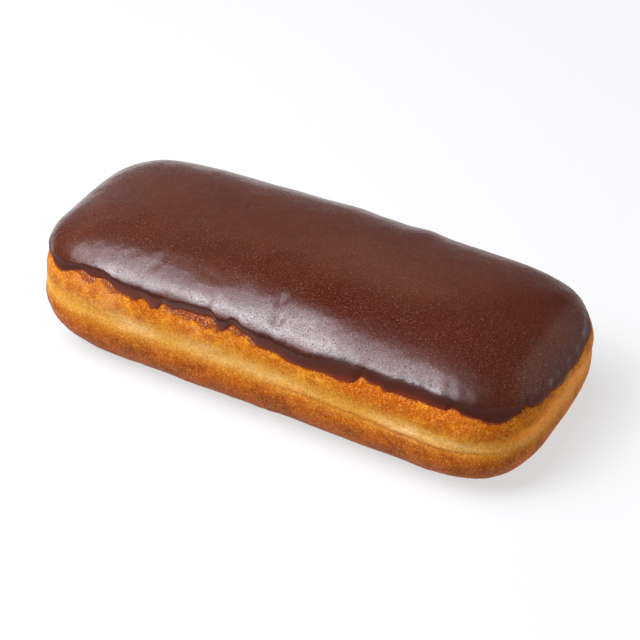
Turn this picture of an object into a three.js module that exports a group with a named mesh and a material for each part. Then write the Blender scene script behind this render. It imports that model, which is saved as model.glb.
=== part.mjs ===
// Long john doughnut: a bar of fried yeast dough with a skin of chocolate icing over its top.
// Millimetres. +X runs along the bar, +Z is up, and the origin is on the table under the bar's middle.

import * as THREE from 'three';
import { ParametricGeometry } from 'three/addons/geometries/ParametricGeometry.js';
import { mergeVertices } from 'three/addons/utils/BufferGeometryUtils.js';

// The whole bar
const LENGTH = 160;
const WIDTH = 70;
const HEIGHT = 40.2; // from the table to the top of the icing at mid-length

// Plan: straight long sides and squared-off round ends
const END_SQUARENESS = 3.45; // exponent of the ends' superellipse, where 2 is a half circle
const WIDTH_TAPER = 0.04; // share by which the right end is wider than the middle
const HEIGHT_TAPER = 0.065; // share by which the right end is lower than the middle
const CROWN_BOW = 2.6; // the crown is arched along the bar, and this much lower towards both ends

// Section of the dough
const GIRTH_HEIGHT = 13.5; // where the bar is widest
const FOOT_INSET = 10; // from the widest line in to the edge of the flat foot
const FOOT_SQUARENESS = 1.7;
const WALL_STRAIGHTNESS = 4; // exponent of the crown's height, which keeps the wall near its full width
const CROWN_ROUNDNESS = 2.3; // exponent of the crown's width
const WAIST_HEIGHT = 19; // the pale line that stayed above the oil on both turns
const WAIST_DEPTH = 0.7;
const WAIST_SPREAD = 3.2;

// Slow lumps round the dough, each a share of the distance from the spine
const DOUGH_LUMPS = [
  { cycles: 5, share: 0.006, phase: 0.1 },
  { cycles: 11, share: 0.003, phase: 0.45 },
];

// Icing
const ICING_GAP = 0.35; // clearance between the icing's underside and the dough
const ICING_THICKNESS = 1.35;
const EDGE_ROUNDING = 0.6; // distance in which the edge comes up to its thickness
const BEAD_SWELL = 0.4; // extra thickness of the bead that the set icing has along its edge
const BEAD_PLACE = 4; // from the edge up to the top of the bead
const BEAD_SPREAD = 2;
const TOP_RIPPLE = 0.2; // height of the slow ripples on the top
const TOP_RIPPLE_ALONG = 11; // wavelength along the bar, over two pi
const TOP_RIPPLE_ACROSS = 8;
const FAR_SWELL = 0.2; // the icing ran thicker along the far shoulder
const FAR_SWELL_MIDDLE = 12;
const FAR_SWELL_SPREAD = 32;

// Line where the icing ends on the dough's side
const EDGE_HEIGHT = 28.4;
const EDGE_SLOPE = -0.01; // the edge hangs lower towards the right end
const EDGE_WAVES = [
  { cycles: 17, height: 0.15, phase: 0.7 },
  { cycles: 29, height: 0.15, phase: 0.15 },
];

// Runs of icing below that line. Places are millimetres round the bar from the near side's middle
const RUNS = [
  { place: -186, drop: 1.5, spread: 4 },
  { place: -150, drop: 1.2, spread: 7 },
  { place: -112, drop: 3, spread: 24 },
  { place: -82, drop: 2.6, spread: 11 },
  { place: -68, drop: 2.2, spread: 5 },
  { place: -41, drop: 1.9, spread: 5 },
  { place: -32, drop: 2.1, spread: 2.2 },
  { place: -10, drop: 1.6, spread: 2 },
  { place: 2, drop: 1.2, spread: 4 },
  { place: 14, drop: 3.3, spread: 12 },
  { place: 29, drop: 2.2, spread: 3.2 },
  { place: 73, drop: 1.4, spread: 5 },
  { place: 105, drop: 2.9, spread: 20 },
  { place: 127, drop: 2, spread: 5 },
  { place: 150, drop: 1.6, spread: 4 },
  { place: 186, drop: 1.4, spread: 8 },
];

// Facets: steps round the bar are about 3 mm long
const SIDE_STEPS = 30;
const END_STEPS = 40;
const FOOT_RINGS = 2;
const DOUGH_RINGS = 20;
const UNDERSIDE_RINGS = 7;
const OUTSIDE_RINGS = 12;
const EDGE_CROWDING = 1.6; // exponent that packs the icing's rings towards its edge
const MERGE_DISTANCE = 1e-4;

// Sizes that follow from those above
const HALF_LENGTH = LENGTH / 2;
const HALF_WIDTH = WIDTH / 2;
const SPINE_HALF = HALF_LENGTH - HALF_WIDTH; // the straight middle that the section is swept round
const CROWN_RISE = HEIGHT - CROWN_BOW - GIRTH_HEIGHT; // from the girth to the icing's top, before the bow
const DOUGH_RISE = CROWN_RISE - ICING_THICKNESS - ICING_GAP;
const STEPS_ROUND = 2 * (SIDE_STEPS + END_STEPS);
const SIDE_SHARE = SIDE_STEPS / STEPS_ROUND;
const STEP_LENGTH = (2 * SPINE_HALF) / SIDE_STEPS;
const PERIMETER = STEPS_ROUND * STEP_LENGTH;
const QUARTER_TURN = Math.PI / 2;

function bell(distance, spread) {
  return Math.exp(-((distance / spread) ** 2));
}

// Point of a superellipse with unit half-axes, seen from its centre at an angle
function superellipse(angle, squareness) {
  const point = new THREE.Vector2(Math.cos(angle), Math.sin(angle));
  const reach = Math.abs(point.x) ** squareness + Math.abs(point.y) ** squareness;
  return point.multiplyScalar(reach ** (-1 / squareness));
}

// A place on the way round the bar, as the point of the spine and the direction out from it.
// The first half is the near side and the right end, and the second is that half turned round.
function placeRound(share) {
  const turn = share < 0.5 ? 1 : -1;
  const half = share < 0.5 ? share : share - 0.5;
  if (half <= SIDE_SHARE) {
    const along = THREE.MathUtils.mapLinear(half, 0, SIDE_SHARE, -SPINE_HALF, SPINE_HALF);
    return { share, spine: turn * along, outX: 0, outY: -turn };
  }
  const angle = THREE.MathUtils.mapLinear(half, SIDE_SHARE, 0.5, -QUARTER_TURN, QUARTER_TURN);
  const out = superellipse(angle, END_SQUARENESS);
  return { share, spine: turn * SPINE_HALF, outX: turn * out.x, outY: turn * out.y };
}

// Moves a point of the section, so far out from the spine and up from the table, to its place on the bar
function setOnBar(target, place, out, up) {
  let lumpy = out;
  for (const lump of DOUGH_LUMPS) {
    lumpy += out * lump.share * Math.sin(2 * Math.PI * (lump.cycles * place.share + lump.phase));
  }
  const x = place.spine + lumpy * place.outX;
  const y = lumpy * place.outY * (1 + (WIDTH_TAPER * x) / HALF_LENGTH);
  const arch = CROWN_BOW * Math.cos((QUARTER_TURN * x) / HALF_LENGTH) ** 2;
  const lift = (arch * Math.max(0, up - GIRTH_HEIGHT)) / CROWN_RISE;
  const z = up * (1 - (HEIGHT_TAPER * x) / HALF_LENGTH) + lift;
  return target.set(x, y, z);
}

// Section of the dough above the girth, out from the spine and up from the table.
// The angle runs from 0 at the girth to 90 degrees at the crown, and its sine is the height.
function crownSection(angle) {
  const rise = Math.sin(angle);
  const width = (1 - rise ** WALL_STRAIGHTNESS) ** (1 / CROWN_ROUNDNESS);
  return new THREE.Vector2(HALF_WIDTH * width, GIRTH_HEIGHT + DOUGH_RISE * rise);
}

// Section of the dough below the girth, from -90 degrees at the foot's edge
function footSection(angle) {
  const corner = superellipse(angle, FOOT_SQUARENESS);
  return new THREE.Vector2(HALF_WIDTH + FOOT_INSET * (corner.x - 1), GIRTH_HEIGHT + GIRTH_HEIGHT * corner.y);
}

function doughSection(angle) {
  const point = angle > 0 ? crownSection(angle) : footSection(angle);
  point.x -= WAIST_DEPTH * bell(point.y - WAIST_HEIGHT, WAIST_SPREAD) * Math.min(1, point.x);
  return point;
}

function doughSurface(round, ring, target) {
  const place = placeRound(round);
  const footShare = FOOT_RINGS / (FOOT_RINGS + DOUGH_RINGS);
  if (ring <= footShare) {
    return setOnBar(target, place, ((HALF_WIDTH - FOOT_INSET) * ring) / footShare, 0);
  }
  const angle = THREE.MathUtils.mapLinear(ring, footShare, 1, -QUARTER_TURN, QUARTER_TURN);
  const point = doughSection(angle);
  return setOnBar(target, place, point.x, point.y);
}

// Height of the icing's edge before the bar's taper and bow
function edgeHeight(place) {
  const fromMiddle = (place.share - SIDE_SHARE / 2) * PERIMETER;
  let height = EDGE_HEIGHT + EDGE_SLOPE * (place.spine + HALF_WIDTH * place.outX);
  for (const wave of EDGE_WAVES) {
    height += wave.height * Math.sin(2 * Math.PI * (wave.cycles * place.share + wave.phase));
  }
  for (const run of RUNS) {
    const away = THREE.MathUtils.euclideanModulo(fromMiddle - run.place + PERIMETER / 2, PERIMETER);
    height -= run.drop * bell(away - PERIMETER / 2, run.spread);
  }
  return height;
}

// Angle of the crown's section at a height from the table
function crownAngle(height) {
  return Math.asin((height - GIRTH_HEIGHT) / DOUGH_RISE);
}

// Direction square to the crown's section at one of its points
function crownNormal(point) {
  const width = point.x / HALF_WIDTH;
  const rise = (point.y - GIRTH_HEIGHT) / DOUGH_RISE;
  const out = (CROWN_ROUNDNESS * width ** (CROWN_ROUNDNESS - 1)) / HALF_WIDTH;
  const up = (WALL_STRAIGHTNESS * rise ** (WALL_STRAIGHTNESS - 1)) / DOUGH_RISE;
  return new THREE.Vector2(out, up).normalize();
}

// Thickness of the icing so far up from its edge, at a point and an angle of the section
function icingThickness(place, fromEdge, point, angle) {
  const grown = 1 - Math.exp(-fromEdge / EDGE_ROUNDING);
  const x = place.spine + point.x * place.outX;
  const y = point.x * place.outY;
  const ripple = TOP_RIPPLE * Math.sin(x / TOP_RIPPLE_ALONG) * Math.cos(y / TOP_RIPPLE_ACROSS);
  const bead = BEAD_SWELL * bell(fromEdge - BEAD_PLACE, BEAD_SPREAD);
  const along = bell(x - FAR_SWELL_MIDDLE, FAR_SWELL_SPREAD);
  const swell = FAR_SWELL * along * Math.max(0, place.outY) * Math.sin(2 * angle);
  return grown * (ICING_THICKNESS + ripple + bead + swell);
}

// Underside of the icing from its crown down to its edge, then the outside back up to the crown
function icingSurface(round, ring, target) {
  const place = placeRound(round);
  const edgeShare = UNDERSIDE_RINGS / (UNDERSIDE_RINGS + OUTSIDE_RINGS);
  const outside = ring > edgeShare;
  const climb = outside ? (ring - edgeShare) / (1 - edgeShare) : (edgeShare - ring) / edgeShare;
  const edgeAngle = crownAngle(edgeHeight(place));
  const angle = THREE.MathUtils.lerp(edgeAngle, QUARTER_TURN, climb ** EDGE_CROWDING);
  const point = crownSection(angle);
  const fromEdge = point.distanceTo(crownSection(edgeAngle));
  const thickness = outside ? icingThickness(place, fromEdge, point, angle) : 0;
  const skin = crownNormal(point).multiplyScalar(ICING_GAP + thickness).add(point);
  return setOnBar(target, place, skin.x, skin.y);
}

// Closed solid from a surface that goes once round the bar: the seams are merged, and the triangles
// that shrink to nothing where the surface meets the spine are left out
function closedGeometry(surface, rings) {
  const sheet = new ParametricGeometry(surface, STEPS_ROUND, rings);
  sheet.deleteAttribute('normal');
  sheet.deleteAttribute('uv');
  const merged = mergeVertices(sheet, MERGE_DISTANCE);
  const corners = merged.getIndex().array;
  const kept = [];
  for (let first = 0; first < corners.length; first += 3) {
    const [a, b, c] = corners.slice(first, first + 3);
    if (a !== b && b !== c && c !== a) kept.push(a, b, c);
  }
  merged.setIndex(kept);
  merged.computeVertexNormals();
  return merged;
}

function makeDough() {
  const crust = new THREE.MeshStandardMaterial({ color: 0xcb8434, roughness: 0.6, metalness: 0 });
  const dough = new THREE.Mesh(closedGeometry(doughSurface, FOOT_RINGS + DOUGH_RINGS), crust);
  dough.name = 'dough';
  return dough;
}

function makeIcing() {
  const chocolate = new THREE.MeshStandardMaterial({ color: 0x4b241a, roughness: 0.35, metalness: 0 });
  const icing = new THREE.Mesh(closedGeometry(icingSurface, UNDERSIDE_RINGS + OUTSIDE_RINGS), chocolate);
  icing.name = 'icing';
  return icing;
}

const doughnut = new THREE.Group();
doughnut.add(makeDough(), makeIcing());

export default doughnut;
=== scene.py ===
import math
from types import SimpleNamespace

import bpy
from mathutils import Matrix, Vector


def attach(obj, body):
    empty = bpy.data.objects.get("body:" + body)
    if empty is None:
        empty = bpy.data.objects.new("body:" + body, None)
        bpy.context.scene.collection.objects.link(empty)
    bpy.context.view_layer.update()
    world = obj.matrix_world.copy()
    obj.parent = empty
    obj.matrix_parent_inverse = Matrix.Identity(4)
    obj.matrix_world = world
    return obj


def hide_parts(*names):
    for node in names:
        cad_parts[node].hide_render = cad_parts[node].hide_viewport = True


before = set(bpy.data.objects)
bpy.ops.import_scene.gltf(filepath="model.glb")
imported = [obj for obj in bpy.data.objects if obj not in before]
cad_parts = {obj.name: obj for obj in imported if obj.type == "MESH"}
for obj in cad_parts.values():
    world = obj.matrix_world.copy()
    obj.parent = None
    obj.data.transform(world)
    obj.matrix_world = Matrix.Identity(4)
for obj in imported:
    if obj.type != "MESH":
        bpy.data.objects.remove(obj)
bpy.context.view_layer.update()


# Dough: a bar of yeast dough, proved until it is puffy and fried in oil on one face, then on the other.
# Both faces brown. The line that floats above the oil each time stays pale and is drawn in a little.
# It lies on the flat face that was fried last.
MM = 0.001
SIDE_SHARE = 3 / 14  # share of the way round that one straight side takes: 90 mm of 420 mm
PERIMETER = 420 * MM
STEPS_ROUND = 840  # a multiple of 14, so that the two sides meet point to point along the crown
FOOT_RINGS = 5
BELLY_RINGS = 34
WALL_RINGS = 60
COVERED_RINGS = 8
COVERED_ANGLE = math.radians(48)  # above this angle of the section the icing covers the dough
QUARTER_TURN = math.pi / 2
MERGE_DISTANCE = 1e-6

bar_sizes = {
    "Length": 160 * MM,
    "Width": 70 * MM,
    "End squareness": 3.45,
    "Width taper": 0.04,
    "Height taper": 0.065,
    "Crown bow": 2.6 * MM,
    "Crown rise": 24.1 * MM,
    "Dough rise": 22.4 * MM,
    "Girth height": 13.5 * MM,
    "Wall straightness": 4.0,
    "Crown roundness": 2.3,
}
dough_sizes = bar_sizes | {
    "Foot inset": 10 * MM,
    "Foot squareness": 1.7,
    "Waist height": 19 * MM,
    "Waist depth": 0.5 * MM,
    "Waist spread": 3.2 * MM,
    "Crease height": 16.2 * MM,
    "Crease depth": 0.25 * MM,
    "Crease spread": 0.5 * MM,
    "Lump relief": 0.45 * MM,
    "Pucker relief": 0.14 * MM,
}
DOUGH_LUMPS = ((5, 0.006, 0.1), (11, 0.003, 0.45))  # cycles round the bar, share of the width, phase
DOUGH_SWELLS = (  # place round the bar and height, swell, and how far it spreads along and up, in mm
    (-80, 13, 0.5, 16, 9),
    (122, 22.5, 0.6, 11, 5),
)
LUMP_SIZE = 9 * MM
PUCKER_SIZE = 2.2 * MM
WANDER_SIZE = 14 * MM  # length of the bends in the crease
CREASE_WANDER = 1 * MM  # how far those bends go up and down
START_WANDER = 40 * MM  # how far the crease's start wanders along the bar
CREASE_START = (-10 * MM, 30 * MM)  # from the bar's middle, where the crease comes in
CREASE_END = (78 * MM, 66 * MM)  # and where it is gone, and still whole
SPINE_FADE = 10 * MM  # distance from the spine in which the waist and the swells come in
FOOT_FADE = (0.2 * MM, 4 * MM)  # heights between which lumps and puckers come in above the flat foot


class Signal:
    """A node's socket that takes part in Python sums: each operator adds a Math node to its tree."""

    def __init__(self, graph, socket):
        self.graph = graph
        self.socket = socket

    def maths(self, operation, *others):
        return self.graph.node("ShaderNodeMath", {"operation": operation}, dict(enumerate((self, *others))))

    def __add__(self, other):
        return self.maths("ADD", other)

    __radd__ = __add__

    def __sub__(self, other):
        return self.maths("SUBTRACT", other)

    def __rsub__(self, other):
        return self.graph.node("ShaderNodeMath", {"operation": "SUBTRACT"}, {0: other, 1: self})

    def __mul__(self, other):
        return self.maths("MULTIPLY", other)

    __rmul__ = __mul__

    def __truediv__(self, other):
        return self.maths("DIVIDE", other)

    def __rtruediv__(self, other):
        return self.graph.node("ShaderNodeMath", {"operation": "DIVIDE"}, {0: other, 1: self})

    def __pow__(self, other):
        return self.maths("POWER", other)


class Graph:
    """A node tree that is written as expressions of signals."""

    def __init__(self, tree):
        self.tree = tree

    def node(self, kind, settings=None, sockets=None, output=0):
        """Adds a node with these settings and socket values or links, and gives back one of its outputs."""
        made = self.tree.nodes.new(kind)
        for name, value in (settings or {}).items():
            if name == "stops":
                self.set_stops(made.color_ramp, value)
            else:
                setattr(made, name, value)
        for key, value in (sockets or {}).items():
            if isinstance(value, Signal):
                self.tree.links.new(value.socket, made.inputs[key])
            else:
                made.inputs[key].default_value = value
        return Signal(self, made.outputs[output]) if made.outputs else made

    @staticmethod
    def set_stops(ramp, stops):
        while len(ramp.elements) < len(stops):
            ramp.elements.new(1.0)
        for element, (place, tone) in zip(ramp.elements, stops):
            element.position = place
            element.color = tone

    def parts(self, vector):
        """The three numbers of a vector."""
        return [self.node("ShaderNodeSeparateXYZ", {}, {0: vector}, axis) for axis in range(3)]

    def vector(self, x, y, z):
        return self.node("ShaderNodeCombineXYZ", {}, {"X": x, "Y": y, "Z": z})

    def stretched(self, vector, factors):
        """A vector times three numbers, axis by axis."""
        return self.node("ShaderNodeVectorMath", {"operation": "MULTIPLY"}, {0: vector, 1: factors})

    def noise(self, place, size, detail=2.0, roughness=0.5):
        """Smooth random relief from about -1 to 1, with lumps of that size in metres."""
        sockets = {"Vector": place, "Scale": 1 / size, "Detail": detail, "Roughness": roughness}
        return self.node("ShaderNodeTexNoise", {}, sockets) * 2 - 1

    def smooth(self, value, low, high):
        """0 up to low, 1 from high, and a smooth step between. A low above high turns the step round."""
        sockets = {"Value": value, "From Min": low, "From Max": high}
        return self.node("ShaderNodeMapRange", {"interpolation_type": "SMOOTHSTEP"}, sockets)

    def ramp(self, value, low, high, to_low, to_high):
        """Straight line from (low, to_low) to (high, to_high), level beyond both."""
        sockets = {"Value": value, "From Min": low, "From Max": high, "To Min": to_low, "To Max": to_high}
        return self.node("ShaderNodeMapRange", {}, sockets)


def bell(distance, spread):
    """1 at no distance, fading out on both sides over about the spread."""
    share = distance / spread
    return (share * share * -1).maths("EXPONENT")


def between(low, high, share):
    """Low where the share is 0, high where it is 1, and a straight mix between."""
    return low + (high - low) * share


def superellipse(angle, squareness):
    """Point of a superellipse with unit half-axes, seen from its centre at an angle."""
    across = angle.maths("COSINE")
    rise = angle.maths("SINE")
    reach = across.maths("ABSOLUTE") ** squareness + rise.maths("ABSOLUTE") ** squareness
    shrink = reach ** (-1 / squareness)
    return across * shrink, rise * shrink


def crown_section(size, angle):
    """Section of the dough above the girth: out from the spine, up from the table, and shares of both.
    The angle runs from 0 at the girth to 90 degrees at the crown, and its sine is the share of the rise."""
    rise = angle.maths("SINE")
    room = (1 - rise ** size["Wall straightness"]).maths("MAXIMUM", 0.0)
    width = room ** (1 / size["Crown roundness"])
    out = size["Width"] / 2 * width
    up = size["Girth height"] + size["Dough rise"] * rise
    return SimpleNamespace(width=width, rise=rise, out=out, up=up)


def shape_graph(name, sizes):
    """A Geometry Nodes tree with a named input for each size: its graph, and the inputs by name."""
    tree = bpy.data.node_groups.new(name, "GeometryNodeTree")
    tree.interface.new_socket("Geometry", in_out="OUTPUT", socket_type="NodeSocketGeometry")
    for label in sizes:
        tree.interface.new_socket(label, in_out="INPUT", socket_type="NodeSocketFloat")
    graph = Graph(tree)
    entry = tree.nodes.new("NodeGroupInput")
    return graph, {label: Signal(graph, entry.outputs[label]) for label in sizes}


def sheet_of(graph, rings):
    """Flat grid, once round the bar in X and from ring to ring in Y, both from -0.5 to 0.5."""
    sockets = {"Size X": 1.0, "Size Y": 1.0, "Vertices X": STEPS_ROUND + 1, "Vertices Y": rings + 1}
    return graph.node("GeometryNodeMeshGrid", {}, sockets)


def way_round(graph, size):
    """Where a point of the grid is on its way round: the spine's point, the direction out, and its ring.
    The first half is the near side and the right end, and the second is that half turned round."""
    grid_x, grid_y, _ = graph.parts(graph.node("GeometryNodeInputPosition"))
    share = grid_x + 0.5
    second = share.maths("GREATER_THAN", 0.5)
    turn = 1 - second * 2
    half = share - second * 0.5
    half_width = size["Width"] / 2
    spine_half = size["Length"] / 2 - half_width
    along = (half * (2 / SIDE_SHARE) - 1).maths("MINIMUM", 1.0) * spine_half
    angle = graph.ramp(half, SIDE_SHARE, 0.5, -QUARTER_TURN, QUARTER_TURN)
    out_x, out_y = superellipse(angle, size["End squareness"])
    way = SimpleNamespace(
        ring=grid_y + 0.5,
        share=share,
        from_middle=(share - SIDE_SHARE / 2) * PERIMETER,
        spine=along * turn,
        out_x=out_x * turn,
        out_y=out_y * turn,
    )
    way.girth_x = way.spine + half_width * way.out_x
    way.girth = graph.vector(way.girth_x, half_width * way.out_y, 0.0)
    return way


def set_on_bar(graph, size, way, out, up):
    """Moves a point of the section, so far out from the spine and up from the table, to its place."""
    lumps = 1.0
    for cycles, share, phase in DOUGH_LUMPS:
        turns = way.share * (2 * math.pi * cycles) + 2 * math.pi * phase
        lumps = turns.maths("SINE") * share + lumps
    lumpy = out * lumps
    x = way.spine + lumpy * way.out_x
    along = x / (size["Length"] / 2)
    y = lumpy * way.out_y * (1 + size["Width taper"] * along)
    arch = size["Crown bow"] * (along * QUARTER_TURN).maths("COSINE") ** 2
    lift = arch * (up - size["Girth height"]).maths("MAXIMUM", 0.0) / size["Crown rise"]
    z = up * (1 - size["Height taper"] * along) + lift
    return graph.vector(x, y, z)


def keep_value(graph, geometry, name, value):
    """Stores a number at each point for the material to read."""
    settings = {"data_type": "FLOAT", "domain": "POINT"}
    sockets = {0: geometry, "Name": name, "Value": value}
    return graph.node("GeometryNodeStoreNamedAttribute", settings, sockets)


def close_up(graph, geometry, position):
    """Puts the grid's points in place and merges its seams."""
    placed = graph.node("GeometryNodeSetPosition", {}, {0: geometry, "Position": position})
    return graph.node("GeometryNodeMergeByDistance", {}, {0: placed, "Distance": MERGE_DISTANCE})


def raise_relief(graph, geometry, height):
    """Moves each point along its normal."""
    normal = graph.node("GeometryNodeInputNormal")
    offset = graph.node("ShaderNodeVectorMath", {"operation": "SCALE"}, {0: normal, "Scale": height})
    return graph.node("GeometryNodeSetPosition", {}, {0: geometry, "Offset": offset})


def mesh_from(graph, name, geometry, material, sizes):
    """Finishes the tree, runs it once and keeps the result as a plain mesh object."""
    smooth = graph.node("GeometryNodeSetShadeSmooth", {}, {0: geometry, "Shade Smooth": True})
    real = graph.node("GeometryNodeRealizeInstances", {}, {0: smooth})
    dressed = graph.node("GeometryNodeSetMaterial", {}, {0: real, "Material": material})
    graph.node("NodeGroupOutput", {}, {0: dressed})
    piece = bpy.data.objects.new(name, bpy.data.meshes.new(name))
    bpy.context.scene.collection.objects.link(piece)
    modifier = piece.modifiers.new("shape", "NODES")
    modifier.node_group = graph.tree
    for item in graph.tree.interface.items_tree:
        if item.in_out == "INPUT":
            modifier[item.identifier] = sizes[item.name]
    depsgraph = bpy.context.evaluated_depsgraph_get()
    evaluated = piece.evaluated_get(depsgraph)
    mesh = bpy.data.meshes.new_from_object(evaluated, preserve_all_data_layers=True, depsgraph=depsgraph)
    piece.modifiers.remove(modifier)
    piece.data = mesh
    return piece


def shader_graph(name):
    """A new material and its graph, with the object's own coordinates in metres."""
    material = bpy.data.materials.new(name)
    material.use_nodes = True
    material.node_tree.nodes.clear()
    graph = Graph(material.node_tree)
    place = graph.node("ShaderNodeTexCoord", {}, {}, "Object")
    return material, graph, place


def kept_value(graph, name):
    """A number that the mesh stores at each point, for a material."""
    return graph.node("ShaderNodeAttribute", {"attribute_name": name}, {}, "Fac")


def colour(red, green, blue):
    """Colour for a node from everyday values of 0 to 255."""
    shares = [value / 255 for value in (red, green, blue)]
    linear = [s / 12.92 if s <= 0.04045 else ((s + 0.055) / 1.055) ** 2.4 for s in shares]
    return (*linear, 1.0)


MIX_SHARE, MIX_BASE, MIX_TINT, MIX_RESULT = 0, 6, 7, 2  # a Mix node's sockets for colours, by number


def tinted(graph, base, tint, share):
    """A colour with that share of a tint laid over it."""
    settings = {"data_type": "RGBA", "blend_type": "MIX"}
    sockets = {MIX_SHARE: share, MIX_BASE: base, MIX_TINT: tint}
    return graph.node("ShaderNodeMix", settings, sockets, MIX_RESULT)


# Line where the icing ends on the dough. Thin smears of icing reach a little way below it.
# Runs, drips and smears are a place in millimetres round the bar from the near side's middle,
# then drop and spread in millimetres. A drop below zero is a notch.
EDGE_HEIGHT = 28.4 * MM
EDGE_SLOPE = -0.01  # the edge hangs lower towards the right end
EDGE_RUNS = (
    (-186, 1.5, 4),
    (-150, 1.2, 7),
    (-112, 3.0, 24),
    (-82, 2.6, 11),
    (-68, 2.2, 5),
    (-41, 1.9, 5),
    (-24, 0.5, 9),
    (2, 1.2, 4),
    (14, 3.3, 12),
    (27.5, 1.6, 5),
    (43, 0.6, 8),
    (73, 1.4, 5),
    (105, 2.9, 20),
    (112, 0.6, 6),
    (127, 1.3, 5),
    (150, 1.6, 4),
    (186, 1.4, 8),
)
EDGE_DRIPS = (
    (-56, 0.5, 3.0),
    (-46, 0.5, 2.2),
    (-38.8, 0.5, 1.7),
    (-34.8, 0.7, 1.6),
    (-32.2, 2.1, 2.0),
    (-27, 0.7, 2.6),
    (-12, 0.4, 1.6),
    (-10.2, 1.6, 1.8),
    (-3.6, 0.3, 1.8),
    (30.8, 0.6, 1.6),
    (33.2, -0.7, 1.3),
    (41, 0.4, 1.5),
    (62, -0.8, 1.8),
    (76, 0.3, 1.8),
    (82.5, -0.8, 1.6),
    (88, 0.4, 2.0),
    (94.5, -0.9, 1.4),
    (101, 0.3, 2.0),
    (107.5, -0.9, 1.4),
)
EDGE_RAGS = ((3.2, 0.24), (1.2, 0.12))  # size and height in mm of the ragged bits
DRIP_POWER = 3  # 2 would give a drip the outline of a bell
LEAST_SMEAR = 0.3 * MM
SMEARS = (
    (-57, 2.0, 3.5),
    (-48, 1.8, 3.0),
    (-28.5, 1.6, 1.6),
    (-22, 2.4, 3.5),
    (-15, 2.8, 3.0),
    (-6, 1.8, 2.0),
    (-1, 1.2, 2.0),
    (-130, 1.6, 5),
    (172, 1.8, 4),
)


def away_from(way, place):
    """Distance along the way round from a place in millimetres, whichever side it is on."""
    return (way.from_middle - place * MM).maths("WRAP", PERIMETER / 2, -PERIMETER / 2)


def patches_at(way, up, patches):
    """How strong all patches of the wall together are at a point."""
    strength = 0.0
    for place, height, amount, spread, spread_up in patches:
        near = bell(away_from(way, place), spread * MM) * bell(up - height * MM, spread_up * MM)
        strength = near * amount + strength
    return strength


def lobe(distance, spread):
    """Like a bell, but with a blunt tip and steep sides, as a drip has."""
    share = distance / spread
    return ((share * share) ** (DRIP_POWER / 2) * -1).maths("EXPONENT")


def drop_at(way, runs, profile):
    """How far all runs together hang down at a point of the way round."""
    drop = 0.0
    for place, depth, spread in runs:
        drop = profile(away_from(way, place), spread * MM) * (depth * MM) + drop
    return drop


def ragged(graph, way, rags):
    """How far the ragged bits of a line round the bar stand above or below it."""
    return sum(graph.noise(way.girth, size * MM) * (rise * MM) for size, rise in rags)


def icing_edge(graph, way):
    """Height of the icing's edge before the bar's taper and bow."""
    drop = drop_at(way, EDGE_RUNS, bell) + drop_at(way, EDGE_DRIPS, lobe)
    return EDGE_HEIGHT + way.girth_x * EDGE_SLOPE - drop + ragged(graph, way, EDGE_RAGS)


# Looks of the crust. The patches are as the swells above, with a strength in place of the swell.
BAKED_PATCHES = (
    (-33, 23, 0.3, 6, 3.0),
    (33, 24, 0.45, 9, 3.0),
    (47, 24, 0.55, 9, 3.0),
    (60, 24, 0.4, 7, 3.0),
    (73, 23, 0.9, 7, 3.0),
)
# Painted light: these patches lighten the right end and its near corner to a golden tone, as less light
# falls there than on the near side.
END_LIGHT_PATCHES = (
    (85, 20, 0.7, 9, 2.8),
    (108, 20, 0.85, 24, 8.0),
)
PALE_PATCHES = (
    (-58, 24, 0.2, 8, 4.0),
    (-47, 23, 0.15, 7, 4.0),
    (-17, 23.5, 0.1, 7, 4.0),
    (-38, 19.5, 0.7, 7, 2.2),
    (-15, 19.5, 0.35, 10, 2.2),
    (5, 19, 0.35, 11, 2.2),
    (47, 18.5, 0.7, 8, 2.0),
    (64, 18.5, 0.4, 9, 2.0),
    (84, 18, 0.25, 8, 2.2),
    (104, 18, 0.2, 14, 2.4),
    (170, 19, 0.5, 20, 2.2),
    (-160, 19, 0.5, 24, 2.2),
)
CRUST_HEIGHT = 32 * MM
CRUST_TONES = (  # share of that height, and the crust's colour there, which is palest at the waist
    (0.00, (90, 34, 5)),
    (0.10, (152, 64, 6)),
    (0.28, (172, 75, 4)),
    (0.44, (181, 90, 6)),
    (0.50, (193, 118, 27)),
    (0.57, (211, 149, 57)),
    (0.65, (204, 136, 27)),
    (0.73, (188, 106, 10)),
    (0.86, (177, 87, 7)),
)
END_LIGHT_CRUST = colour(255, 146, 8)
PALE_CRUST = colour(246, 208, 146)
BROWNED_CRUST = colour(130, 48, 6)
RUDDY_CRUST = colour(166, 76, 7)
STRAW_CRUST = colour(224, 148, 26)
BAKED_CRUST = colour(170, 70, 3)
CREASE_SHADE = colour(168, 94, 28)
PITTED_CRUST = colour(156, 68, 6)
PAINTED_CRUST_GLINT = colour(251, 194, 98)
SMEARED_ICING = colour(106, 42, 25)
SMEAR_GLINT_PAINT = colour(230, 176, 148)
BELOW_WAIST = (18 * MM, 12 * MM)  # heights from none to all of the browning below the waist
ABOVE_WAIST = (19 * MM, 24 * MM)
STREAK_STRETCH = (0.2, 0.2, 1.0)  # streaks are five times longer along the bar than they are high
GRAIN_RELIEF = 0.1 * MM


def crust_grain(graph, place):
    """Unevenness of the crust, from slow sways down to the crystals on it, and how crumbly it is, which
    also places the painted glints.
    """
    grain = SimpleNamespace(
        sway=graph.noise(place, 30 * MM),
        blotch=graph.noise(place, 12 * MM, 2.0),
        patch=graph.noise(place, 6 * MM, 2.0, 0.6),
        mottle=graph.noise(place, 4 * MM, 4.0, 0.7),
        streak=graph.noise(graph.stretched(place, STREAK_STRETCH), 1.2 * MM, 3.0, 0.6),
        fine=graph.noise(place, 0.9 * MM, 2.0, 0.6),
        crystal=graph.noise(place, 0.36 * MM, 2.0, 0.6),
    )
    grain.crumb = grain.crystal + grain.fine * 0.5
    return grain


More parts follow.
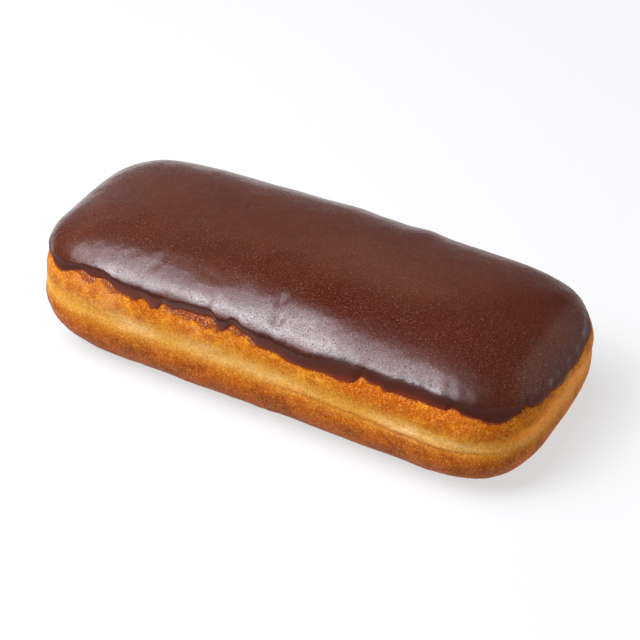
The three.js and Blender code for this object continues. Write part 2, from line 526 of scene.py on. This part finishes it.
def fried_tones(graph, grain):
    """Colour of the bare crust: by its height, then in patches, with painted light on the right end and
    painted shade in the crease, and last in its grain, with painted glints.
    """
    up = kept_value(graph, "up")
    height = up / CRUST_HEIGHT + grain.sway * 0.03 + grain.blotch * 0.04
    height = height + grain.mottle * 0.04 + grain.streak * 0.04
    stops = [(share, colour(*tone)) for share, tone in CRUST_TONES]
    base = graph.node("ShaderNodeValToRGB", {"stops": stops}, {0: height})
    golden = kept_value(graph, "golden")
    # Painted light on the right end, which also browns less where it is lightened.
    base = tinted(graph, base, END_LIGHT_CRUST, golden)
    base = tinted(graph, base, PALE_CRUST, kept_value(graph, "pale") * (grain.streak * 1.3 + 0.75))
    browned = graph.smooth(grain.patch + grain.blotch * 0.4 + grain.fine * 0.15, -0.25, 0.4)
    browned = browned * graph.smooth(up, *BELOW_WAIST)
    base = tinted(graph, base, BROWNED_CRUST, browned * (0.85 - golden * 0.45))
    above = graph.smooth(up, *ABOVE_WAIST)
    ruddy = graph.smooth(grain.patch + grain.mottle * 0.5 + grain.fine * 0.2, -0.15, 0.4) * above
    base = tinted(graph, base, RUDDY_CRUST, ruddy * 0.8)
    straw = graph.smooth(grain.mottle + grain.streak * 0.3, -0.05, -0.4) * above
    base = tinted(graph, base, STRAW_CRUST, straw * 0.65)
    base = tinted(graph, base, BAKED_CRUST, kept_value(graph, "baked") * (grain.mottle * 0.5 + 0.85))
    # Painted shade: a darker line along the crease below the pale waist.
    base = tinted(graph, base, CREASE_SHADE, kept_value(graph, "crease") * 0.5)
    base = tinted(graph, base, PITTED_CRUST, graph.smooth(grain.crumb, 0.0, -0.5) * 0.5)
    # Painted highlight: bright glints on the crumbs, where an oily crust would catch the light.
    return tinted(graph, base, PAINTED_CRUST_GLINT, graph.smooth(grain.crumb, -0.1, 0.5) * 0.42)


def smeared(graph, base, grain):
    """Lays the thin smears of icing below its edge over the crust, with painted glints in the long ones."""
    reach = kept_value(graph, "smear")
    depth = kept_value(graph, "below_icing") + (grain.crystal + grain.fine) * (0.5 * MM)
    film = graph.smooth(depth, reach, reach * 0.6)
    broken_film = film * graph.smooth(grain.fine + grain.mottle, -0.7, 0.1)
    base = tinted(graph, base, SMEARED_ICING, broken_film * 0.8)
    # Painted highlight: light glints on the long smears, in place of the light their glossy film would
    # catch.
    smear_glints = film * graph.smooth(grain.crumb, 0.05, 0.4) * graph.smooth(reach, 0.5 * MM, 1.2 * MM)
    return tinted(graph, base, SMEAR_GLINT_PAINT, smear_glints * 0.55)


def crust_material():
    material, graph, place = shader_graph("fried_crust")
    grain = crust_grain(graph, place)
    relief = grain.fine * 0.7 + grain.crystal * 0.5
    bump = graph.node("ShaderNodeBump", {}, {"Strength": 1.0, "Distance": GRAIN_RELIEF, "Height": relief})
    shader = graph.node(
        "ShaderNodeBsdfPrincipled",
        {},
        {
            "Base Color": smeared(graph, fried_tones(graph, grain), grain),
            "Roughness": grain.mottle * 0.08 + 0.45,
            "Specular IOR Level": 0.03,
            "Normal": bump,
        },
    )
    graph.node("ShaderNodeOutputMaterial", {}, {"Surface": shader})
    return material


def make_dough():
    graph, size = shape_graph("dough_bar", dough_sizes)
    way = way_round(graph, size)
    rings = FOOT_RINGS + BELLY_RINGS + WALL_RINGS + COVERED_RINGS
    foot_share = FOOT_RINGS / rings
    girth_share = (FOOT_RINGS + BELLY_RINGS) / rings
    covered_share = 1 - COVERED_RINGS / rings
    belly_angle = graph.ramp(way.ring, foot_share, girth_share, -QUARTER_TURN, 0.0)
    wall_angle = graph.ramp(way.ring, girth_share, covered_share, 0.0, COVERED_ANGLE)
    crown_angle = wall_angle + graph.ramp(way.ring, covered_share, 1.0, 0.0, QUARTER_TURN - COVERED_ANGLE)
    above = way.ring.maths("GREATER_THAN", girth_share)
    across, rise = superellipse(belly_angle, size["Foot squareness"])
    crown = crown_section(size, crown_angle)
    belly_out = size["Width"] / 2 + size["Foot inset"] * (across - 1)
    foot_out = (way.ring / foot_share).maths("MINIMUM", 1.0)
    full = between(belly_out * foot_out, crown.out, above)
    up = between(size["Girth height"] + size["Girth height"] * rise, crown.up, above)
    waist = bell(up - size["Waist height"], size["Waist spread"]) * size["Waist depth"]
    wander = graph.noise(way.girth, WANDER_SIZE)
    creased = graph.smooth(way.girth_x + wander * START_WANDER, *CREASE_START)
    creased = creased * graph.smooth(way.girth_x, *CREASE_END)
    crease = bell(up - size["Crease height"] - wander * CREASE_WANDER, size["Crease spread"]) * creased
    drawn_in = waist + crease * size["Crease depth"] - patches_at(way, up, DOUGH_SWELLS) * MM
    out = full - drawn_in * graph.smooth(full, 0.0, SPINE_FADE)
    sheet = keep_value(graph, sheet_of(graph, rings), "up", up)
    sheet = keep_value(graph, sheet, "below_icing", icing_edge(graph, way) - up)
    sheet = keep_value(graph, sheet, "smear", drop_at(way, SMEARS, bell) + LEAST_SMEAR)
    sheet = keep_value(graph, sheet, "baked", patches_at(way, up, BAKED_PATCHES))
    sheet = keep_value(graph, sheet, "golden", patches_at(way, up, END_LIGHT_PATCHES))
    sheet = keep_value(graph, sheet, "pale", patches_at(way, up, PALE_PATCHES))
    sheet = keep_value(graph, sheet, "crease", crease)
    bar = close_up(graph, sheet, set_on_bar(graph, size, way, out, up))
    place = graph.node("GeometryNodeInputPosition")
    _, _, height = graph.parts(place)
    lumps = graph.noise(place, LUMP_SIZE) * size["Lump relief"]
    puckers = graph.noise(place, PUCKER_SIZE) * size["Pucker relief"]
    bar = raise_relief(graph, bar, (lumps + puckers) * graph.smooth(height, *FOOT_FADE))
    return mesh_from(graph, "dough_crust", bar, crust_material(), dough_sizes)


dough = make_dough()
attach(dough, "root")
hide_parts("dough")


# Icing: a skin of chocolate fondant icing. The warm top of the bar is dipped in it face down and
# turned over, so the icing runs a little way down the sides and sets there in a lip.
# The lip is steep-faced and its edge is uneven.
UNDERSIDE_RINGS = 6
LIP_RINGS = 32
TOP_RINGS = 72
LIP_RUN = 4.5 * MM  # stretch of fine rings, up from the edge
ICING_SINK = 0.3 * MM  # how far the underside sits in the dough, so that no gap shows
ROLLED_OVER = (60 * MM, 74 * MM)  # from the centre, where the lip turns from steep-faced to rounded
SHARP_CREST = 7.0
SOFT_CREST = 1.7
END_THINNING = 0.4  # share of the edge's thickness that is left where the lip is rounded
SLOW_RIPPLE_SIZE = 16 * MM
QUICK_RIPPLE_SIZE = 5 * MM

icing_sizes = bar_sizes | {
    "Skin thickness": 1.7 * MM,
    "Edge thickness": 0.5 * MM,
    "Edge rounding": 0.2 * MM,
    "Far swell": 0.5 * MM,
    "Slow ripple": 0.26 * MM,
    "Quick ripple": 0.1 * MM,
}

# Line of the lip's crest, with runs and rags as the edge has them.
CREST_HEIGHT = 29.2 * MM
CREST_RUNS = (
    (-105, 3.5, 24),
    (-70, 0.8, 7),
    (-56, -0.8, 8),
    (-16, 0.7, 22),
    (2, 0.7, 7),
    (15, 1.4, 8),
    (28, -0.4, 5),
    (53, -1.1, 12),
    (107, 2.0, 30),
    (190, 1.2, 30),
)
CREST_RAGS = ((9.0, 0.3), (3.0, 0.4))
LEAST_LIP = 0.9 * MM  # height of the crest over the edge where the two lines come close

# Lumps and dents of the shoulder: place round the bar, height and spread in mm,
# then the angle of the section and how far the lump spreads there.
SHOULDER_LUMPS = (
    (-209, 0.3, 5, 0.83, 0.35),
    (-165, 0.3, 10, 0.83, 0.35),
    (-104, 0.4, 22, 0.75, 0.35),
    (-82, 0.4, 8, 0.65, 0.3),
    (-36.5, -0.2, 1.8, 1.04, 0.09),
    (-18, 0.5, 14, 0.88, 0.15),
    (-13.5, -0.2, 1.6, 0.87, 0.1),
    (3.8, -0.4, 1.6, 1.07, 0.1),
    (5.6, -0.4, 1.6, 0.92, 0.1),
    (13, 0.25, 9, 1.14, 0.13),
    (58.5, 0.2, 1.9, 0.87, 0.1),
    (63.5, 0.16, 1.8, 0.86, 0.1),
    (68.5, 0.12, 1.8, 0.85, 0.1),
    (93, 0.2, 1.6, 0.72, 0.11),
    (99, 0.25, 1.7, 0.7, 0.11),
    (105.5, 0.25, 1.8, 0.7, 0.11),
    (112, 0.25, 1.8, 0.7, 0.11),
    (119, 0.25, 1.8, 0.7, 0.11),
    (141, -0.4, 8, 0.83, 0.35),
    (163, 0.3, 11, 0.83, 0.35),
    (187, 0.6, 5, 0.83, 0.35),
)

# Looks of the icing: its colours, then the patches and zones that differ, along the bar and across it.
# Several of them are painted sheen and painted shade, as marked below.
CHOCOLATE = colour(72, 26, 8)
CLOUDED_CHOCOLATE = colour(80, 32, 12)
SHEEN_PAINT_CHOCOLATE = colour(104, 68, 54)
SHADE_PAINT_CHOCOLATE = colour(46, 14, 5)
DULL_SHADED_CHOCOLATE = colour(64, 14, 2)
SPECK_AND_GLINT = colour(160, 110, 102)
DARK_SPECK = colour(34, 9, 3)
PINPRICK_SHADE = colour(32, 11, 6)
SHADED_CORNER = colour(50, 14, 6)
SHADED_LIP_FACE = colour(66, 22, 8)
LIT_LIP_AT_ENDS = colour(98, 42, 22)
LIP_SHEEN = colour(104, 40, 18)
CREST_SHADE_LINE = colour(42, 15, 7)
THIN_EDGE = colour(128, 44, 22)
PAINTED_LIGHT_PATCHES = (  # painted sheen and painted shade: place along and across in mm, length and width in mm, then tint and its share
    (20, 3, 22, 10, SHEEN_PAINT_CHOCOLATE, 0.22),
    (-24, -13, 14, 6, SHADE_PAINT_CHOCOLATE, 0.3),
)
GLOSS_PATCHES = (  # place along and across in mm, length and width in mm, then gain in gloss
    (10, -28, 8, 4, 0.25),
    (33, -30, 9, 4, -0.32),
    (56, -30, 8, 4, 0.35),
)
CORNER_PATCH = (64, -30, 9, 9)  # the same without a gain: the near right corner, which is in shade
SHEEN_MIDDLE = -20 * MM  # along, where the lip's face shines most
SHEEN_LENGTH = 35 * MM
END_FACE = (69 * MM, 77 * MM)  # from the centre, where the lip is that of an end
TROUGH_START = (-15 * MM, 15 * MM)  # along, where the dull trough behind the near shoulder begins; its colour is painted shade
TROUGH_BACK = (-8 * MM, -17 * MM)  # across, from none to all of it
TROUGH_FRONT = (-26 * MM, -21 * MM)
END_TOP_SLANT = 0.8  # the dull top of the right end, painted shade as well, begins on a slanting line
END_TOP_START = (36 * MM, 54 * MM)
END_TOP_FRONT = (-30 * MM, -20 * MM)
DULL_LIMIT = (71.5 * MM, 69.5 * MM)  # along, where both are gone, and still whole
BUBBLE_SPACING = 1.0 * MM
SPECK_RELIEF = 0.04 * MM


def patch_near(zone, along, across, length, width):
    """1 at a place on the icing, fading out over that length and width, all in millimetres."""
    return bell(zone.along - along * MM, length * MM) * bell(zone.across - across * MM, width * MM)


def icing_zones(graph, place):
    """Where a point of the icing is: its place, and how far it belongs to each zone, from 0 to 1.
    The lip's own value is 0 at the icing's edge and 1 at its crest, and goes on rising above that."""
    along, across, _ = graph.parts(place)
    zone = SimpleNamespace(along=along, across=across, lip=kept_value(graph, "lip"))
    from_centre = along.maths("ABSOLUTE")
    zone.rolled_over = graph.ramp(from_centre, *ROLLED_OVER, 0.0, 1.0)
    zone.end = graph.ramp(from_centre, *END_FACE, 0.0, 1.0)
    zone.face = graph.smooth(zone.lip, 1 + zone.rolled_over * 0.7, 0.7)
    zone.sheen = bell(along - SHEEN_MIDDLE, SHEEN_LENGTH)
    zone.corner = patch_near(zone, *CORNER_PATCH)
    trough = graph.smooth(along, *TROUGH_START) * graph.smooth(across, *TROUGH_BACK)
    trough = trough * graph.smooth(across, *TROUGH_FRONT)
    end_top = graph.smooth(along - across * END_TOP_SLANT, *END_TOP_START)
    end_top = end_top * graph.smooth(across, *END_TOP_FRONT)
    zone.dull = trough.maths("MAXIMUM", end_top) * graph.smooth(along, *DULL_LIMIT)
    return zone


def icing_grain(graph, place):
    """Unevenness of the set icing: clouds, patches, specks, and pinpricks where bubbles burst."""
    grain = SimpleNamespace(
        cloud=graph.noise(place, 14 * MM, 3.0),
        patch=graph.noise(place, 3.5 * MM, 2.0, 0.6),
        speck=graph.noise(place, 0.4 * MM, 3.0, 0.65),
    )
    bubble = graph.node("ShaderNodeTexVoronoi", {}, {"Vector": place, "Scale": 1 / BUBBLE_SPACING})
    grain.pinprick = graph.smooth(bubble, 0.22, 0.1) * graph.smooth(grain.patch, -0.4, 0.2)
    return grain


def icing_tones(graph, zone, grain):
    """Colour of the icing: the clouded top with painted sheen and shade, its specks, partly painted glints,
    and pinpricks with painted shade, then the lip down to its edge, with painted shade and sheen on its
    face.
    """
    base = tinted(graph, CHOCOLATE, CLOUDED_CHOCOLATE, graph.smooth(grain.cloud, -0.5, 0.5))
    # Painted sheen on the middle of the top, and painted shade above the near highlight on the left.
    for along, across, length, width, tint, share in PAINTED_LIGHT_PATCHES:
        base = tinted(graph, base, tint, patch_near(zone, along, across, length, width) * share)
    # Painted shade: the trough behind the near highlight and the top of the right end are darkened, where
    # little light is reflected.
    base = tinted(graph, base, DULL_SHADED_CHOCOLATE, zone.dull * 0.52)
    # Specks, thicker towards the near highlight and the right: the light ones are partly the icing's own
    # and partly painted glints.
    speckled = graph.ramp(zone.across, 10 * MM, -15 * MM, 0.2, 0.55)
    speckled = speckled * graph.ramp(zone.along, -20 * MM, 40 * MM, 1.0, 1.4)
    specks_and_glints = graph.smooth(grain.speck, 0.1, 0.5)
    specks_and_glints = specks_and_glints * graph.ramp(zone.across, -32 * MM, -24 * MM, 0.3, 1.0)
    base = tinted(graph, base, SPECK_AND_GLINT, specks_and_glints * speckled)
    base = tinted(graph, base, DARK_SPECK, graph.smooth(grain.speck, -0.05, -0.45) * speckled)
    # Painted shade: the pinpricks are darkened, as the shade in them would darken them.
    base = tinted(graph, base, PINPRICK_SHADE, grain.pinprick * 0.4)
    base = tinted(graph, base, SHADED_CORNER, zone.corner * 0.5)
    # Painted shade on the steep face of the lip, with painted sheen on it at both ends and towards the
    # left.
    base = tinted(graph, base, SHADED_LIP_FACE, zone.face * 0.8)
    base = tinted(graph, base, LIT_LIP_AT_ENDS, zone.face * zone.end * 0.6)
    base = tinted(graph, base, LIP_SHEEN, zone.face * zone.sheen * 0.7)
    # Painted shade: a dark line just under the lip's crest.
    base = tinted(graph, base, CREST_SHADE_LINE, bell(zone.lip - 1.0, 0.32) * (1 - zone.rolled_over) * 0.6)
    return tinted(graph, base, THIN_EDGE, graph.smooth(zone.lip, 0.4, 0.05) * 0.7)


def icing_roughness(graph, zone, grain):
    """Roughness under the gloss: smooth on the near shoulder, duller to the right, the back and the lip."""
    skin = graph.ramp(zone.along, 5 * MM, 45 * MM, 0.18, 0.3)
    skin = skin + graph.ramp(zone.across, 15 * MM, 33 * MM, 0.0, 0.15)
    face = 0.9 - zone.sheen * 0.5
    return between(skin, face, zone.face) + grain.cloud * 0.03 + grain.pinprick * 0.25


def icing_gloss(graph, zone, grain):
    """How much gloss lies on the icing, which the specks and pinpricks break up."""
    gloss = graph.ramp(zone.across, 18 * MM, 34 * MM, 0.46, 0.2)
    gloss = gloss * graph.ramp(zone.along, -80 * MM, -66 * MM, 0.5, 1.0)
    gloss = gloss * (1 - zone.corner * 0.8) * (1 - zone.dull * 0.8)
    for along, across, length, width, gain in GLOSS_PATCHES:
        gloss = gloss * (1 + patch_near(zone, along, across, length, width) * gain)
    skin = 1 + grain.speck * 2.0 + grain.patch * 0.6 - grain.pinprick
    face = zone.sheen * 0.3 + zone.end * 0.2
    return between(skin, face, zone.face) * gloss


def icing_material():
    material, graph, place = shader_graph("chocolate_icing")
    zone = icing_zones(graph, place)
    grain = icing_grain(graph, place)
    relief = grain.speck - grain.pinprick * 2
    bump = graph.node("ShaderNodeBump", {}, {"Strength": 1.0, "Distance": SPECK_RELIEF, "Height": relief})
    shader = graph.node(
        "ShaderNodeBsdfPrincipled",
        {},
        {
            "Base Color": icing_tones(graph, zone, grain),
            "Roughness": icing_roughness(graph, zone, grain),
            "Specular IOR Level": 0.27,
            "Normal": bump,
            "Coat Weight": icing_gloss(graph, zone, grain),
            "Coat Roughness": 0.19,
        },
    )
    graph.node("ShaderNodeOutputMaterial", {}, {"Surface": shader})
    return material


def icing_crest(graph, way):
    """Height of the lip's crest before the bar's taper and bow, kept clear of the icing's edge."""
    crest = CREST_HEIGHT - drop_at(way, CREST_RUNS, bell) + ragged(graph, way, CREST_RAGS)
    return crest.maths("MAXIMUM", icing_edge(graph, way) + LEAST_LIP)


def crown_angle_at(size, height):
    """Angle of the crown's section at a height from the table."""
    return ((height - size["Girth height"]) / size["Dough rise"]).maths("ARCSINE")


def apart(first, second):
    """Distance between two points of the section."""
    out = first.out - second.out
    up = first.up - second.up
    return (out * out + up * up) ** 0.5


def make_icing():
    graph, size = shape_graph("icing_skin", icing_sizes)
    way = way_round(graph, size)
    rings = UNDERSIDE_RINGS + LIP_RINGS + TOP_RINGS
    edge_share = UNDERSIDE_RINGS / rings
    lip_share = (UNDERSIDE_RINGS + LIP_RINGS) / rings
    edge_angle = crown_angle_at(size, icing_edge(graph, way))
    crest_angle = crown_angle_at(size, icing_crest(graph, way))
    lip_angle = edge_angle + LIP_RUN / size["Dough rise"]
    under = graph.ramp(way.ring, 0.0, edge_share, 1.0, 0.0)
    lip = graph.ramp(way.ring, edge_share, lip_share, 0.0, 1.0)
    top = graph.ramp(way.ring, lip_share, 1.0, 0.0, 1.0)
    angle = edge_angle + (lip_angle - edge_angle) * lip + (QUARTER_TURN - lip_angle) * top
    angle = angle + (QUARTER_TURN - edge_angle) * under
    outside = way.ring.maths("GREATER_THAN", edge_share)
    section = crown_section(size, angle)
    edge = crown_section(size, edge_angle)
    from_edge = apart(section, edge)
    climb = from_edge / apart(crown_section(size, crest_angle), edge)
    from_centre = way.girth_x.maths("ABSOLUTE")
    sharpness = graph.ramp(from_centre, *ROLLED_OVER, SHARP_CREST, SOFT_CREST)
    full_grown = climb / (1 + climb ** sharpness) ** (1 / sharpness)
    edge_thickness = size["Edge thickness"] * graph.ramp(from_centre, *ROLLED_OVER, 1.0, END_THINNING)
    start = edge_thickness * (1 - (from_edge / size["Edge rounding"] * -1).maths("EXPONENT"))
    body = (size["Skin thickness"] - edge_thickness) * full_grown
    lumps = way.out_y.maths("MAXIMUM", 0.0) * (angle * 2).maths("SINE") * size["Far swell"]
    for place, height, spread, middle, reach in SHOULDER_LUMPS:
        lump = bell(away_from(way, place), spread * MM) * bell(angle - middle, reach)
        lumps = lumps + lump * (height * MM)
    offset = (start + body + lumps * full_grown) * outside - ICING_SINK * (1 - full_grown * outside)
    half_width = size["Width"] / 2
    roundness = size["Crown roundness"]
    straightness = size["Wall straightness"]
    normal_out = roundness * section.width ** (roundness - 1) / half_width
    normal_up = straightness * section.rise ** (straightness - 1) / size["Dough rise"]
    length = (normal_out * normal_out + normal_up * normal_up) ** 0.5
    out = section.out + normal_out / length * offset
    up = section.up + normal_up / length * offset
    sheet = keep_value(graph, sheet_of(graph, rings), "lip", climb)
    skin = close_up(graph, sheet, set_on_bar(graph, size, way, out, up))
    place = graph.node("GeometryNodeInputPosition")
    slow = graph.noise(place, SLOW_RIPPLE_SIZE) * size["Slow ripple"]
    quick = graph.noise(place, QUICK_RIPPLE_SIZE) * size["Quick ripple"]
    skin = raise_relief(graph, skin, slow + quick)
    return mesh_from(graph, "icing_skin", skin, icing_material(), icing_sizes)


icing = make_icing()
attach(icing, "root")
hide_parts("icing")


# Floor: a plain pale sheet that the bar lies on, far wider than the view.
# It is lit a little from below, as a photographer's light table is, which keeps the shadow pale.
FLOOR_HALF = 4.0
FLOOR_CORNERS = ((-1, -1), (1, -1), (1, 1), (-1, 1))
FLOOR_GREY = (0.24, 0.24, 0.24, 1.0)
FLOOR_GLOW = 0.63


def make_floor():
    material, graph, _ = shader_graph("pale_floor")
    shader = graph.node(
        "ShaderNodeBsdfPrincipled",
        {},
        {
            "Base Color": FLOOR_GREY,
            "Roughness": 0.9,
            "Specular IOR Level": 0.0,
            "Emission Color": (1.0, 1.0, 1.0, 1.0),
            "Emission Strength": FLOOR_GLOW,
        },
    )
    graph.node("ShaderNodeOutputMaterial", {}, {"Surface": shader})
    mesh = bpy.data.meshes.new("floor")
    corners = [(x * FLOOR_HALF, y * FLOOR_HALF, 0.0) for x, y in FLOOR_CORNERS]
    mesh.from_pydata(corners, [], [(0, 1, 2, 3)])
    mesh.materials.append(material)
    floor = bpy.data.objects.new("floor", mesh)
    bpy.context.scene.collection.objects.link(floor)
    return floor


make_floor()


# Light: a wide soft box high on the left, made of discs that give it a bright front part and let it
# fade towards the right. Dim panels stand behind the bar, a warm one on the right among them.
# An even surround fills the rest.
BAR_MIDDLE = Vector((0.0, 0.0, 20 * MM))
DAYLIGHT = (0.97, 0.98, 1.05)
WARM_WALL = (1.05, 0.98, 0.88)
SURROUND = (0.14, 0.14, 0.14, 1.0)


def soft_box(name, shape, direction, distance, width, depth, radiance, tone=DAYLIGHT):
    """Light panel that faces the bar from a direction, set square to it, with that radiance."""
    light = bpy.data.lights.new(name, "AREA")
    light.shape = shape
    light.size = width
    light.size_y = depth
    light.color = tone
    area = width * depth * (1.0 if shape == "RECTANGLE" else math.pi / 4)
    light.energy = radiance * math.pi * area
    panel = bpy.data.objects.new(name, light)
    towards = Vector(direction).normalized()
    side = (Vector((1.0, 0.0, 0.0)) - towards * towards.x).normalized()
    panel.matrix_world = Matrix((side, towards.cross(side), towards)).transposed().to_4x4()
    panel.location = BAR_MIDDLE + towards * distance
    bpy.context.scene.collection.objects.link(panel)


# Direction from the bar, then distance, width and depth in metres, and radiance
soft_box("key_light", "ELLIPSE", (-0.37, -0.19, 0.91), 0.95, 1.02, 0.70, 3.7)
soft_box("key_inner", "ELLIPSE", (-0.39, -0.20, 0.91), 0.945, 0.80, 0.60, 1.3)
soft_box("key_core", "ELLIPSE", (-0.42, -0.46, 0.78), 0.94, 0.50, 0.70, 5.6)
soft_box("key_lamp", "ELLIPSE", (-0.38, -0.50, 0.76), 0.93, 0.46, 0.32, 7.6)
soft_box("key_wing", "ELLIPSE", (-0.10, -0.10, 0.99), 0.96, 0.34, 0.50, 2.2)
soft_box("key_fade", "ELLIPSE", (0.08, -0.14, 0.99), 0.97, 0.36, 0.50, 1.2)
soft_box("back_panel", "RECTANGLE", (-0.42, 0.76, 0.46), 1.4, 1.6, 0.8, 0.115)
soft_box("left_panel", "RECTANGLE", (-0.72, 0.52, 0.46), 1.4, 0.8, 0.8, 0.12)
soft_box("right_panel", "RECTANGLE", (0.62, 0.60, 0.46), 1.4, 1.3, 0.9, 0.44, WARM_WALL)
world = bpy.data.worlds.new("surround")
world.use_nodes = True
world.node_tree.nodes["Background"].inputs["Color"].default_value = SURROUND
bpy.context.scene.world = world


# Camera: a long lens from the front right, looking down on the bar.
# Its place was fitted to the photo together with the bar's own proportions.
CAMERA_AZIMUTH = math.radians(28.55)
CAMERA_ELEVATION = math.radians(36.77)
CAMERA_DISTANCE = 520.6 * MM
CAMERA_AIM = Vector((4.89, -3.77, 18.0)) * MM
CAMERA_LENS = 102.13  # millimetres, as the sensor's width is
CAMERA_SENSOR = 36.0
CAMERA_NEAREST = 10 * MM


def make_camera():
    lens = bpy.data.cameras.new("camera")
    lens.sensor_width = CAMERA_SENSOR
    lens.lens = CAMERA_LENS
    lens.clip_start = CAMERA_NEAREST
    camera = bpy.data.objects.new("camera", lens)
    level = math.cos(CAMERA_ELEVATION)
    back = Vector((
        math.sin(CAMERA_AZIMUTH) * level,
        -math.cos(CAMERA_AZIMUTH) * level,
        math.sin(CAMERA_ELEVATION),
    ))
    camera.location = CAMERA_AIM + back * CAMERA_DISTANCE
    camera.rotation_mode = "QUATERNION"
    camera.rotation_quaternion = (-back).to_track_quat("-Z", "Y")
    bpy.context.scene.collection.objects.link(camera)
    bpy.context.scene.camera = camera


make_camera()
bpy.context.scene.view_settings.view_transform = "Standard"
